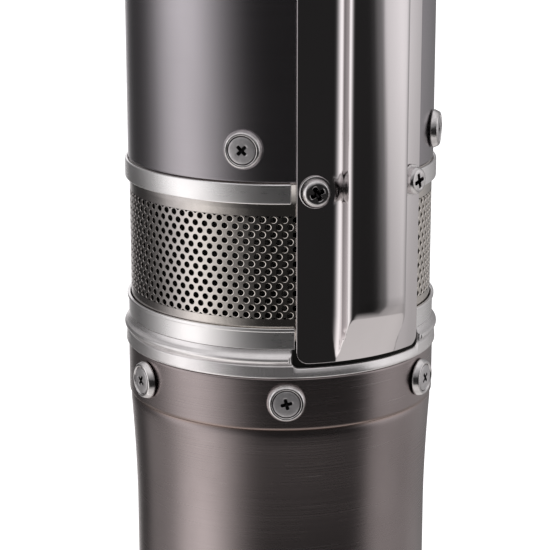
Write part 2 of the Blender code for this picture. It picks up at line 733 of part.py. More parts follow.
def place_row(name, mesh, angles, height, surface, finish):
    """A row of like pieces round the pump, each seated on the surface and facing outwards."""
    for number, angle in enumerate(angles, start=1):
        seat = Matrix.Translation(polar(surface + SEAT_GAP, angle, height)) @ outward_turn(angle)
        add_object(f"{name}_{number}", mesh, finish, seat)


def screws_and_washers(finishes):
    steel = finishes["screw_steel"]
    screw, washer, pan = countersunk_screw_mesh(), cup_washer_mesh(), pan_screw_mesh()
    guard_surface = PUMP_RADIUS + GUARD_CLEARANCE + GUARD_SHEET
    place_row("pump_shell_screw", screw, PUMP_SCREW_ANGLES, PUMP_SCREW_HEIGHT, PUMP_RADIUS, steel)
    place_row("pump_shell_washer", washer, PUMP_SCREW_ANGLES, PUMP_SCREW_HEIGHT, PUMP_RADIUS, steel)
    place_row("motor_shell_screw", screw, MOTOR_SCREW_ANGLES, MOTOR_SCREW_HEIGHT, MOTOR_MOUTH_RADIUS, steel)
    place_row("motor_shell_washer", washer, MOTOR_SCREW_ANGLES, MOTOR_SCREW_HEIGHT, MOTOR_MOUTH_RADIUS, steel)
    place_row("head_screw", pan, PUMP_SCREW_ANGLES, HEAD_SCREW_HEIGHT, PUMP_RADIUS, steel)
    place_row("base_screw", pan, BASE_SCREW_ANGLES, BASE_SCREW_HEIGHT, MOTOR_RADIUS, steel)
    place_row("guard_lower_screw", pan, guard_screw_angles(), GUARD_SCREW_LOW, guard_surface, steel)
    place_row("guard_upper_screw", pan, guard_screw_angles(), GUARD_SCREW_HIGH, guard_surface, steel)


def main():
    clear_scene()
    finishes = make_finishes()
    motor_base(finishes)
    motor_fill_plug(finishes)
    core("motor_stator", STATOR_RADIUS, BASE_SPIGOT_TOP + SEAT_GAP, MOUTH_SEAM + 2.1 * MM, finishes)
    motor_shell(finishes)
    motor_collar(finishes)
    intake_housing(finishes)
    cable_gland(finishes)
    strainer_screen(finishes)
    bands(finishes)
    core("pump_stage_stack", STACK_RADIUS, CAGE_SPIGOT_TOP + SEAT_GAP, HEAD_SPIGOT_BOTTOM - SEAT_GAP, finishes)
    pump_shell(finishes)
    discharge_head(finishes)
    cable_guard(finishes)
    screws_and_washers(finishes)


main()
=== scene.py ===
import math
import random

import bmesh
import bpy
from mathutils import Matrix, Vector


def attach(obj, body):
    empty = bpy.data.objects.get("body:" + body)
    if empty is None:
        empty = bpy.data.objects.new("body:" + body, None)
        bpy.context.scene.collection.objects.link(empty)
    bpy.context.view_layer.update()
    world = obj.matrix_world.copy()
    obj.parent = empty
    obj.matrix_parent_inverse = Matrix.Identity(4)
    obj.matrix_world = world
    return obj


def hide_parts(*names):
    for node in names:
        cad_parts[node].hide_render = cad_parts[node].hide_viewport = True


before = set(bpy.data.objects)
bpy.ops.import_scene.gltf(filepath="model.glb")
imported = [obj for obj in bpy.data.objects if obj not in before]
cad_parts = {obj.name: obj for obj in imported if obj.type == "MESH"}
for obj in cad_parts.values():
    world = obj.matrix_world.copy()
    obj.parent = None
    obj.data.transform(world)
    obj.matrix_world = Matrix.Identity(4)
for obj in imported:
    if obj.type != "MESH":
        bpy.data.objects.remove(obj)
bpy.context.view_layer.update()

mm = 0.001


# ---- numbers and places shared by the pieces (millimetres, degrees from -Y towards +X)

def direction(angle):
    turn = math.radians(angle)
    return Vector((math.sin(turn), -math.cos(turn), 0.0))


def polar(radius, angle, height):
    return direction(angle) * radius * mm + Vector((0.0, 0.0, height * mm))


def outwardTurn(angle, twist=0.0):
    # local Z points away from the axis, local Y stays upright before the twist
    turn = math.radians(angle)
    across = Vector((math.cos(turn), math.sin(turn), 0.0))
    basis = Matrix((across, Vector((0.0, 0.0, 1.0)), direction(angle))).transposed()
    return basis.to_4x4() @ Matrix.Rotation(math.radians(twist), 4, "Z")


def smoothShare(value):
    value = min(1.0, max(0.0, value))
    return value * value * (3.0 - 2.0 * value)


# ---- node trees: sockets that take arithmetic, and one way to add any other node

class Socket:
    def __init__(self, sheet, link):
        self.sheet = sheet
        self.link = link

    def maths(self, operation, *others):
        return self.sheet.node("ShaderNodeMath", {"operation": operation}, dict(enumerate((self,) + others)))

    def __add__(self, other):
        return self.maths("ADD", other)

    def __radd__(self, other):
        return self.maths("ADD", other)

    def __sub__(self, other):
        return self.maths("SUBTRACT", other)

    def __rsub__(self, other):
        return self.sheet.node("ShaderNodeMath", {"operation": "SUBTRACT"}, {0: other, 1: self})

    def __mul__(self, other):
        return self.maths("MULTIPLY", other)

    def __rmul__(self, other):
        return self.maths("MULTIPLY", other)

    def __truediv__(self, other):
        return self.maths("DIVIDE", other)

    def __rtruediv__(self, other):
        return self.sheet.node("ShaderNodeMath", {"operation": "DIVIDE"}, {0: other, 1: self})

    def __pow__(self, other):
        return self.maths("POWER", other)

    def __neg__(self):
        return self.maths("MULTIPLY", -1.0)

    def band(self, low, high, start=0.0, end=1.0):
        # smooth ramp from start to end while the value goes from low to high
        ramp = {0: self, 1: low, 2: high, 3: start, 4: end}
        return self.sheet.node("ShaderNodeMapRange", {"interpolation_type": "SMOOTHSTEP"}, ramp)


class Sheet:
    def __init__(self, tree):
        self.tree = tree

    def node(self, kind, settings=None, sockets=None, output=0):
        made = self.tree.nodes.new(kind)
        for name, value in (settings or {}).items():
            if name == "stops":
                ramp = made.color_ramp
                while len(ramp.elements) < len(value):
                    ramp.elements.new(0.5)
                for element, (place, colour) in zip(ramp.elements, value):
                    element.position = place
                    element.color = colour
            else:
                setattr(made, name, value)
        for name, value in (sockets or {}).items():
            if isinstance(value, Socket):
                self.tree.links.new(value.link, made.inputs[name])
            else:
                made.inputs[name].default_value = value
        return Socket(self, made.outputs[output])

    def mix(self, share, first, second):
        settings = {"data_type": "RGBA"}
        return self.node("ShaderNodeMix", settings, {0: share, 6: first, 7: second}, 2)


def colour(red, green, blue):
    return (red, green, blue, 1.0)


class Finish(Sheet):
    def __init__(self, name):
        self.material = bpy.data.materials.new(name)
        self.material.use_nodes = True
        super().__init__(self.material.node_tree)
        self.shader = self.tree.nodes["Principled BSDF"]
        self.place = self.node("ShaderNodeTexCoord", output=3)

    def parts(self):
        separate = self.node("ShaderNodeSeparateXYZ", None, {0: self.place}).link.node
        return [Socket(self, output) for output in separate.outputs]

    def spread(self, stretch):
        # object coordinates in metres, stretched along each axis
        settings = {"operation": "MULTIPLY"}
        return self.node("ShaderNodeVectorMath", settings, {0: self.place, 1: stretch})

    def noise(self, stretch, scale, detail=3.0, roughness=0.55):
        sockets = {"Vector": self.spread(stretch), "Scale": scale, "Detail": detail, "Roughness": roughness}
        return self.node("ShaderNodeTexNoise", None, sockets)

    def bump(self, height, strength, distance):
        return self.node("ShaderNodeBump", None, {"Strength": strength, "Distance": distance, "Height": height})

    def set(self, **sockets):
        for name, value in sockets.items():
            target = self.shader.inputs[name.replace("_", " ")]
            if isinstance(value, Socket):
                self.tree.links.new(value.link, target)
            else:
                target.default_value = value
        return self.material


# ---- finishes

print("finishes")


def shellSteel():
    # drawn tube: soft lines that run round it, and faint long streaks
    look = {"colour": colour(0.43, 0.405, 0.425), "dull": colour(0.35, 0.33, 0.345), "roughness": 0.235}
    finish = Finish("shellSteel")
    rings = finish.noise((12.0, 12.0, 2600.0), 1.0, 4.0, 0.6)
    cloud = finish.noise((1.0, 1.0, 0.35), 34.0, 3.0, 0.5)
    grit = finish.noise((1.0, 1.0, 4.0), 2600.0, 2.0, 0.6)
    shade = finish.mix(cloud.band(0.3, 0.72) * 0.55, look["colour"], look["dull"])
    rough = look["roughness"] + (rings - 0.5) * 0.07 + (cloud - 0.5) * 0.06
    normal = finish.bump(rings * 0.7 + grit * 0.3, 0.05, 0.00012)
    return finish.set(Base_Color=shade, Metallic=1.0, Roughness=rough, Normal=normal)


def motorSteel():
    # ground tube, browner and duller, with light scratches round it and a heat tint at the seam
    look = {"colour": colour(0.40, 0.348, 0.346), "dull": colour(0.31, 0.265, 0.264), "tint": colour(0.30, 0.21, 0.165)}
    finish = Finish("motorSteel")
    x, y, height = finish.parts()
    rings = finish.noise((9.0, 9.0, 2100.0), 1.0, 4.0, 0.62)
    cloud = finish.noise((1.0, 1.0, 0.8), 30.0, 4.0, 0.55)
    streak = finish.noise((26.0, 26.0, 1500.0), 1.0, 2.0, 0.5).band(0.66, 0.74)
    patch = finish.noise((1.0, 1.0, 1.6), 60.0, 2.0, 0.5).band(0.5, 0.66)
    scratch = streak * patch
    seam = ((height - 0.2523) * 760.0).maths("ABSOLUTE").band(0.0, 1.0, 1.0, 0.0)
    shade = finish.mix(cloud.band(0.32, 0.7) * 0.6, look["colour"], look["dull"])
    shade = finish.mix(seam * 0.6, shade, look["tint"])
    shade = finish.mix(scratch * 0.5, shade, colour(0.55, 0.51, 0.50))
    rough = 0.26 + (rings - 0.5) * 0.10 + (cloud - 0.5) * 0.10 + scratch * 0.08
    normal = finish.bump(rings + scratch * 0.4, 0.10, 0.00012)
    return finish.set(Base_Color=shade, Metallic=1.0, Roughness=rough, Normal=normal)


def mirrorSteel():
    # bright rolled sheet of the guard, with hair lines along it, and painted shade in the hollows round the screws
    finish = Finish("mirrorSteel")
    lines = finish.noise((900.0, 900.0, 9.0), 1.0, 3.0, 0.6)
    smear = finish.noise((1.0, 1.0, 0.3), 45.0, 3.0, 0.55)
    shade = finish.mix(smear.band(0.35, 0.7) * 0.5, colour(0.74, 0.70, 0.705), colour(0.66, 0.63, 0.63))
    rough = 0.062 + smear.band(0.4, 0.75) * 0.045 + (lines - 0.5) * 0.03
    x, y, z = finish.parts()
    across = x.maths("ABSOLUTE") - 0.0170
    along = (z - 0.3253).maths("ABSOLUTE").maths("MINIMUM", (z - 0.5120).maths("ABSOLUTE"))
    outwards = y + 0.0463
    reach = (across * across + along * along + outwards * outwards) ** 0.5
    # painted shade: the colour turns near black in the hollows round the four screws, where shadow falls
    paintedPocketShade = reach.band(0.0062, 0.0078, 1.0, 0.0) * ((x * x + y * y) ** 0.5).band(0.0494, 0.0503)
    shade = finish.mix(paintedPocketShade * 0.85, shade, colour(0.06, 0.055, 0.055))
    normal = finish.bump(lines * 0.5 + smear * 2.0, 0.04, 0.00016)
    return finish.set(Base_Color=shade, Metallic=1.0, Roughness=rough, Normal=normal)


def strapSteel():
    # bright strip of the two bands, lightly lined round the pump
    finish = Finish("strapSteel")
    rings = finish.noise((16.0, 16.0, 3200.0), 1.0, 3.0, 0.6)
    smear = finish.noise((1.0, 1.0, 1.0), 70.0, 3.0, 0.55)
    shade = finish.mix(smear.band(0.35, 0.7) * 0.45, colour(0.97, 0.955, 0.95), colour(0.88, 0.86, 0.855))
    rough = 0.275 + (rings - 0.5) * 0.08 + smear.band(0.4, 0.7) * 0.05
    normal = finish.bump(rings, 0.05, 0.0001)
    return finish.set(Base_Color=shade, Metallic=0.98, Roughness=rough, Normal=normal)


def strainerSteel():
    # thin punched sheet, slightly warm, with small dents, and a painted highlight that lightens it on the -Y side
    finish = Finish("strainerSteel")
    dent = finish.noise((1.0, 1.0, 1.0), 240.0, 2.0, 0.5)
    grit = finish.noise((1.0, 1.0, 1.0), 1900.0, 2.0, 0.6)
    x, y, z = finish.parts()
    plain = finish.mix(dent.band(0.35, 0.7) * 0.5, colour(0.47, 0.44, 0.425), colour(0.39, 0.365, 0.35))
    paintedSheen = finish.mix(dent.band(0.35, 0.7) * 0.5, colour(0.76, 0.71, 0.66), colour(0.64, 0.60, 0.555))
    # painted highlight: the colour is lighter on the -Y side, where the bright reflection falls
    shade = finish.mix(y.band(-0.029, -0.012, 1.0, 0.0), plain, paintedSheen)
    rough = 0.14 + (grit - 0.5) * 0.08 + (dent - 0.5) * 0.06
    normal = finish.bump(dent * 1.5 + grit * 0.2, 0.12, 0.0002)
    return finish.set(Base_Color=shade, Metallic=1.0, Roughness=rough, Normal=normal)


def collarSteel():
    # turned ring, satin, with fine tool lines, and painted shade in the recess behind the guard's foot
    finish = Finish("collarSteel")
    rings = finish.noise((6.0, 6.0, 4200.0), 1.0, 3.0, 0.6)
    cloud = finish.noise((1.0, 1.0, 1.0), 90.0, 4.0, 0.6)
    x, y, z = finish.parts()
    # painted shade: the colour turns near black inside the neck's radius on the guard's side, where shadow falls
    depth = ((x * x + y * y) ** 0.5).band(0.04842, 0.04872, 1.0, 0.0) * y.band(-0.0428, -0.0424, 1.0, 0.0)
    shade = finish.mix(cloud.band(0.35, 0.7) * 0.6, colour(0.84, 0.815, 0.81), colour(0.70, 0.67, 0.665))
    shade = finish.mix(depth, shade, colour(0.02, 0.019, 0.018))
    rough = 0.25 + (rings - 0.5) * 0.06 + (cloud - 0.5) * 0.06 + depth * 0.4
    normal = finish.bump(rings + cloud * 0.3, 0.04, 0.0001)
    return finish.set(Base_Color=shade, Metallic=0.90, Roughness=rough, Normal=normal)


def castSteel():
    # blasted casting with a pebbled skin and a few pores
    finish = Finish("castSteel")
    pebble = finish.node("ShaderNodeTexVoronoi", None, {"Vector": finish.place, "Scale": 900.0})
    grit = finish.noise((1.0, 1.0, 1.0), 700.0, 4.0, 0.65)
    cloud = finish.noise((1.0, 1.0, 1.0), 55.0, 3.0, 0.6)
    shade = finish.mix(cloud.band(0.35, 0.7), colour(0.54, 0.525, 0.51), colour(0.43, 0.415, 0.40))
    rough = 0.40 + (grit - 0.5) * 0.16 + (cloud - 0.5) * 0.10
    normal = finish.bump(pebble * 0.35 + grit * 0.65, 0.28, 0.0003)
    return finish.set(Base_Color=shade, Metallic=1.0, Roughness=rough, Normal=normal)


def screwSteel():
    # bright cold-headed screws, with small pits and worn, lighter spots, and painted shade inside the cross recess
    finish = Finish("screwSteel")
    pits = finish.noise((1.0, 1.0, 1.0), 1500.0, 3.0, 0.6)
    cloud = finish.noise((1.0, 1.0, 1.0), 420.0, 3.0, 0.6)
    recess = finish.node("ShaderNodeAttribute", {"attribute_name": "recess"}, None, 2)
    shade = finish.mix(cloud.band(0.35, 0.68), colour(0.78, 0.755, 0.75), colour(0.60, 0.58, 0.58))
    # painted shade: the colour turns near black inside the cross recess
    shade = finish.mix(recess, shade, colour(0.035, 0.033, 0.034))
    rough = 0.20 + (pits - 0.5) * 0.16 + (cloud - 0.5) * 0.10
    normal = finish.bump(pits * 0.6 + cloud, 0.22, 0.00022)
    return finish.set(Base_Color=shade, Metallic=1.0, Roughness=rough, Normal=normal)


def headSteel():
    # flat grey heads, with painted shade inside the recess
    finish = Finish("headSteel")
    pits = finish.noise((1.0, 1.0, 1.0), 1500.0, 3.0, 0.6)
    cloud = finish.noise((1.0, 1.0, 1.0), 420.0, 3.0, 0.6)
    recess = finish.node("ShaderNodeAttribute", {"attribute_name": "recess"}, None, 2)
    shade = finish.mix(cloud.band(0.35, 0.68), colour(0.62, 0.60, 0.605), colour(0.50, 0.485, 0.49))
    # painted shade: the colour turns near black inside the cross recess
    shade = finish.mix(recess, shade, colour(0.035, 0.033, 0.034))
    rough = 0.36 + (pits - 0.5) * 0.16 + (cloud - 0.5) * 0.10
    normal = finish.bump(pits * 0.6 + cloud, 0.16, 0.00022)
    return finish.set(Base_Color=shade, Metallic=0.86, Roughness=rough, Normal=normal)


def coreSteel():
    # dark castings inside the pump, coloured near black as painted shade for the inside seen through the holes
    finish = Finish("coreSteel")
    grit = finish.noise((1.0, 1.0, 1.0), 500.0, 4.0, 0.65)
    shade = finish.mix(grit.band(0.35, 0.7), colour(0.05, 0.048, 0.045), colour(0.09, 0.086, 0.08))
    normal = finish.bump(grit, 0.3, 0.0003)
    return finish.set(Base_Color=shade, Metallic=0.35, Roughness=0.5 + grit * 0.2, Normal=normal)


def glandRubber():
    finish = Finish("glandRubber")
    grain = finish.noise((1.0, 1.0, 1.0), 1100.0, 3.0, 0.6)
    shade = finish.mix(grain.band(0.3, 0.7), colour(0.018, 0.018, 0.018), colour(0.035, 0.035, 0.034))
    return finish.set(Base_Color=shade, Roughness=0.55 + grain * 0.2, Normal=finish.bump(grain, 0.2, 0.0002))


shellSteel = shellSteel()
motorSteel = motorSteel()
mirrorSteel = mirrorSteel()
strapSteel = strapSteel()
strainerSteel = strainerSteel()
collarSteel = collarSteel()
castSteel = castSteel()
screwSteel = screwSteel()
headSteel = headSteel()
coreSteel = coreSteel()
glandRubber = glandRubber()


# ---- mesh helpers

def addPiece(name, mesh, material=None):
    piece = bpy.data.objects.new(name, mesh)
    bpy.context.scene.collection.objects.link(piece)
    if material is not None:
        mesh.materials.clear()
        mesh.materials.append(material)
    return piece


def meshFrom(shape, name, sharp=38.0, recalculate=True):
    if recalculate:
        bmesh.ops.recalc_face_normals(shape, faces=shape.faces)
    mesh = bpy.data.meshes.new(name)
    shape.to_mesh(mesh)
    shape.free()
    mesh.shade_smooth()
    if sharp:
        mesh.set_sharp_from_angle(angle=math.radians(sharp))
    return mesh


def madePlain(piece):
    # the evaluated shape becomes the mesh, and no modifier is left
    bpy.context.view_layer.update()
    graph = bpy.context.evaluated_depsgraph_get()
    ready = piece.evaluated_get(graph)
    mesh = bpy.data.meshes.new_from_object(ready, preserve_all_data_layers=True, depsgraph=graph)
    mesh.name = piece.name
    piece.modifiers.clear()
    piece.data = mesh
    return piece


def rounded(points, steps=4, support=0.35):
    # corners given as (radius, height, fillet) become arcs, with a support point beside each arc
    made = []
    count = len(points)
    for index, point in enumerate(points):
        corner = Vector(point[:2])
        fillet = point[2] if len(point) > 2 else 0.0
        if fillet <= 0.0:
            made.append(tuple(corner))
            continue
        before = Vector(points[index - 1][:2]) - corner
        after = Vector(points[(index + 1) % count][:2]) - corner
        roomBefore, roomAfter = before.length, after.length
        before.normalize()
        after.normalize()
        half = before.angle(after) / 2.0
        reach = min(fillet / math.tan(half), roomBefore * 0.45, roomAfter * 0.45)
        radius = reach * math.tan(half)
        centre = corner + (before + after).normalized() * (radius / math.sin(half))
        start = corner + before * reach - centre
        sweep = start.angle_signed(corner + after * reach - centre)
        extra = min(support, roomBefore * 0.25)
        if roomBefore > reach + extra * 1.5:
            made.append(tuple(corner + before * (reach + extra)))
        for step in range(steps + 1):
            turn = Matrix.Rotation(-sweep * step / steps, 2)
            made.append(tuple(centre + turn @ start))
        extra = min(support, roomAfter * 0.25)
        if roomAfter > reach + extra * 1.5:
            made.append(tuple(corner + after * (reach + extra)))
    return made


def turned(outline, steps=256, start=0.0, end=360.0):
    # a closed outline of (radius, height) carried round the axis, with end faces on a part turn
    shape = bmesh.new()
    full = end - start >= 360.0
    count = steps if full else steps + 1
    rings = []
    for radius, height in outline:
        if radius < 1e-6:
            rings.append([shape.verts.new((0.0, 0.0, height * mm))] * count)
        else:
            places = [start + (end - start) * step / steps for step in range(count)]
            rings.append([shape.verts.new(polar(radius, place, height)) for place in places])
    for ring, following in zip(rings, rings[1:] + rings[:1]):
        for step in range(steps):
            later = (step + 1) % count
            corners = list(dict.fromkeys([ring[step], following[step], following[later], ring[later]]))
            if len(corners) > 2:
                shape.faces.new(corners)
    if not full:
        shape.faces.new([ring[0] for ring in rings])
        shape.faces.new([ring[-1] for ring in rings])
    return shape


def carve(piece, shape, operation="DIFFERENCE"):
    helper = addPiece(piece.name + "Cutter", meshFrom(shape, piece.name + "Cutter", sharp=0))
    step = piece.modifiers.new("carve", "BOOLEAN")
    step.operation = operation
    step.solver = "EXACT"
    step.object = helper
    madePlain(piece)
    bpy.data.objects.remove(helper, do_unlink=True)
    return piece


def together(shapes):
    joined = bmesh.new()
    for shape in shapes:
        carrier = bpy.data.meshes.new("carrier")
        bmesh.ops.recalc_face_normals(shape, faces=shape.faces)
        shape.to_mesh(carrier)
        shape.free()
        joined.from_mesh(carrier)
        bpy.data.meshes.remove(carrier)
    return joined


def moved(shape, matrix):
    bmesh.ops.transform(shape, matrix=matrix, verts=shape.verts)
    return shape


def finishPiece(piece, slotName, *nodes):
    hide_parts(*nodes)
    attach(piece, "root")
    return piece


# ---- shells

print("shells")

shellSizes = {"radius": 48.0, "wall": 1.6, "bottom": 327.95, "top": 530.0, "edge": 0.22}


def pumpShell():
    size = shellSizes
    inner = size["radius"] - size["wall"]
    outline = rounded([
        (inner, size["bottom"], 0.2),
        (size["radius"], size["bottom"], size["edge"]),
        (size["radius"], size["top"], size["edge"]),
        (inner, size["top"], 0.2),
    ])
    piece = addPiece("pumpShell", meshFrom(turned(outline), "pumpShell", 60), shellSteel)
    return finishPiece(piece, "satin_steel", "pump_shell")


motorSizes = {
    "radius": 46.9, "wall": 1.6, "bottom": 7.3, "taperBottom": 214.0,
    "neck": 48.35, "seam": 252.1, "mouth": 48.8, "top": 268.4, "seamDepth": 0.16,
}


def motorShell():
    size = motorSizes
    wall, seam, neck, mouth = size["wall"], size["seam"], size["neck"], size["mouth"]
    inner = size["radius"] - wall
    steps = 14
    taper = []
    for step in range(steps + 1):
        share = step / steps
        height = size["taperBottom"] + (seam - 2.4 - size["taperBottom"]) * share
        taper.append((size["radius"] + (neck - size["radius"]) * share ** 1.7, height))
    seamPath = [
        (neck, seam - 1.4), (neck - size["seamDepth"] * 0.4, seam - 0.6), (neck - size["seamDepth"], seam - 0.05),
        (neck + 0.05, seam + 0.10), (mouth - 0.10, seam + 0.40), (mouth - 0.02, seam + 0.58), (mouth, seam + 1.1),
    ]
    outline = [(inner, size["bottom"])]
    outline += rounded([(inner, size["bottom"]), (size["radius"], size["bottom"], 0.5), taper[0]])[1:-1]
    outline += taper + seamPath
    outline += rounded([(mouth, seam + 2.0), (mouth, size["top"], 0.5), (mouth - wall, size["top"])])[1:-1]
    outline += [(mouth - wall, size["top"]), (mouth - wall, seam + 1.2), (neck - wall, seam - 1.2), (inner, 214.0)]
    piece = addPiece("motorShell", meshFrom(turned(outline), "motorShell", 60), motorSteel)
    return finishPiece(piece, "satin_steel", "motor_shell")


pumpShell()
motorShell()


# ---- collar between motor and strainer

print("collar")

collarSizes = {
    "bore": 8.0, "spigot": 46.9, "spigotBottom": 254.5, "foot": 268.7, "skirt": 49.6, "lean": 0.26, "groove": 272.75,
    "crest": 274.35, "crestRadius": 50.0, "neck": 48.3, "top": 277.35,
}
notchSizes = {"halfWidth": 28.2, "floor": 271.85, "corner": 2.3, "rim": 0.95}


def collarOutline():
    size = collarSizes
    groove, crest = size["groove"], size["crest"]
    skirt = size["skirt"] - size["lean"]
    outline = [
        (size["bore"], size["spigotBottom"]), (size["spigot"], size["spigotBottom"]), (size["spigot"], size["foot"]),
    ]
    outline += rounded([(46.9, size["foot"]), (size["skirt"], size["foot"], 0.45), (skirt, groove - 0.5)], 5)[1:-1]
    outline += [
        (skirt, groove - 0.75), (skirt - 0.03, groove - 0.45), (skirt - 0.16, groove - 0.22),
        (skirt - 0.42, groove), (skirt - 0.30, groove + 0.14), (skirt + 0.02, groove + 0.38),
    ]
    bead = 1.15                                     # the rolled bead at the crest
    centre = (size["crestRadius"] - bead, crest)
    for turn in (-42, -28, -14, 0, 14, 28, 42, 54):
        angle = math.radians(turn)
        outline.append((centre[0] + bead * math.cos(angle), centre[1] + bead * math.sin(angle)))
    outline += [
        (49.18, 275.55), (48.90, 275.88), (48.70, 276.20), (48.54, 276.55), (48.43, 276.85),
        (size["neck"], size["top"]), (size["bore"], size["top"]),
    ]
    return outline


def notchCutter():
    # the notch widens towards the outside, which leaves a rounded rim round it
    size = notchSizes
    rim = size["rim"]
    skirt = collarSizes["skirt"]
    layers = [(48.35, 0.0), (skirt - rim, 0.0)]
    for turn in (18, 36, 54, 70, 82):
        angle = math.radians(turn)
        layers.append((skirt - rim + rim * math.sin(angle), rim * (1 - math.cos(angle))))
    layers.append((skirt + 0.9, rim * 1.6))
    top = collarSizes["top"] + 4.0
    shape = bmesh.new()
    rings = []
    for radius, grow in layers:
        half = math.radians(size["halfWidth"]) * skirt + grow
        floor = size["floor"] - grow
        corner = size["corner"] + grow
        side = [(half, top), (half, top - 3.0)]
        for step in range(9):
            turn = math.radians(90.0 * step / 8)
            side.append((half - corner * (1 - math.cos(turn)), floor + corner * (1 - math.sin(turn))))
        flat = [(half - corner) * (1 - step / 24) for step in range(1, 48)]
        path = side + [(place, floor) for place in flat] + [(-place, height) for place, height in reversed(side)]
        path += [(-place, top) for place in flat]
        rings.append([shape.verts.new(polar(radius, math.degrees(place / skirt), height)) for place, height in path])
    for near, far in zip(rings, rings[1:]):
        for index in range(len(near)):
            later = (index + 1) % len(near)
            shape.faces.new((near[index], near[later], far[later], far[index]))
    for ring in (rings[0], rings[-1]):
        count = len(ring)
        sideCount, flatCount = 11, 47
        lower = ring[:count - flatCount]
        upper = [ring[0]] + list(reversed(ring[count - flatCount:])) + [ring[count - flatCount - 1]]
        upper = [ring[0]] + ring[count - flatCount:][::-1] + [ring[count - flatCount - 1]]
        fillCap(shape, lower, upper, sideCount)
    return shape


def fillCap(shape, lower, upper, sideCount):
    # strips from the notch's floor line to its top line
    floorLine = lower[sideCount - 1:len(lower) - sideCount + 1]
    for index in range(len(upper) - 1):
        a, b = floorLine[index], floorLine[index + 1]
        shape.faces.new((a, b, upper[index + 1], upper[index]))
    for part, end in ((lower[:sideCount], upper[0]), (lower[len(lower) - sideCount:][::-1], upper[-1])):
        for first, second in zip(part, part[1:]):
            if end not in (first, second):
                shape.faces.new((end, first, second))


def motorCollar():
    piece = addPiece("motorCollar", meshFrom(turned(collarOutline(), 360), "motorCollar", 60), collarSteel)
    carve(piece, notchCutter())
    piece.data.materials.clear()
    piece.data.materials.append(collarSteel)
    piece.data.shade_smooth()
    piece.data.set_sharp_from_angle(angle=math.radians(50))
    return finishPiece(piece, "cast_steel", "motor_collar")


motorCollar()


# ---- straps over the strainer's edges

print("straps")

upperStrapSizes = {"inner": 48.0, "outer": 49.0, "bottom": 321.6, "top": 327.6, "end": 28.3, "edge": 0.42}
lowerStrapSizes = {
    "inner": 48.0, "neck": 48.55, "flange": 49.0, "bottom": 277.5, "flangeBottom": 282.95, "top": 284.0,
    "end": 27.0, "edge": 0.3,
}


def strap(name, outline, end, edge, node):
    shape = turned(outline, 240, end, 360.0 - end)
    piece = addPiece(name, meshFrom(shape, name, 0), strapSteel)
    bevel = piece.modifiers.new("edge", "BEVEL")
    bevel.width = edge * mm
    bevel.segments = 3
    bevel.limit_method = "ANGLE"
    bevel.angle_limit = math.radians(50)
    bevel.harden_normals = True
    madePlain(piece)
    return finishPiece(piece, "bright_steel", node)


def upperStrap():
    size = upperStrapSizes
    middle = (size["bottom"] + size["top"]) / 2
    outline = [
        (size["inner"], size["bottom"]), (size["outer"], size["bottom"]), (size["outer"] + 0.04, middle),
        (size["outer"], size["top"]), (size["inner"], size["top"]),
    ]
    return strap("upperStrap", outline, size["end"], size["edge"], "upper_band")


def lowerStrap():
    size = lowerStrapSizes
    outline = [
        (size["inner"], size["bottom"]), (size["neck"], size["bottom"]), (size["neck"], size["flangeBottom"]),
        (size["flange"], size["flangeBottom"]), (size["flange"], size["top"]), (size["inner"], size["top"]),
    ]
    return strap("lowerStrap", outline, size["end"], size["edge"], "lower_band")


upperStrap()
lowerStrap()


# ---- perforated strainer

print("strainer")

strainerSizes = {
    "radius": 47.7, "sheet": 0.8, "bottom": 277.4, "top": 327.8, "end": 16.0,
    "columns": 81, "rows": 14, "firstHole": 21.40, "columnPitch": 3.949, "lowestRow": 287.75, "rowPitch": 2.229,
    "hole": 0.86, "lip": 1.04, "lipAside": 0.11, "lipDepth": 0.20, "sides": 16,
}


def treeInput(tree, name, kind, value=None):
    made = tree.interface.new_socket(name, in_out="INPUT", socket_type=kind)
    if value is not None:
        made.default_value = value
    return made.identifier


def newTree(name):
    tree = bpy.data.node_groups.new(name, "GeometryNodeTree")
    tree.interface.new_socket("Geometry", in_out="INPUT", socket_type="NodeSocketGeometry")
    tree.interface.new_socket("Geometry", in_out="OUTPUT", socket_type="NodeSocketGeometry")
    return tree


def grown(piece, tree, values):
    # puts the tree on the piece, sets its inputs by identifier and keeps only the result
    step = piece.modifiers.new(tree.name, "NODES")
    step.node_group = tree
    for identifier, value in values.items():
        step[identifier] = value
    return madePlain(piece)


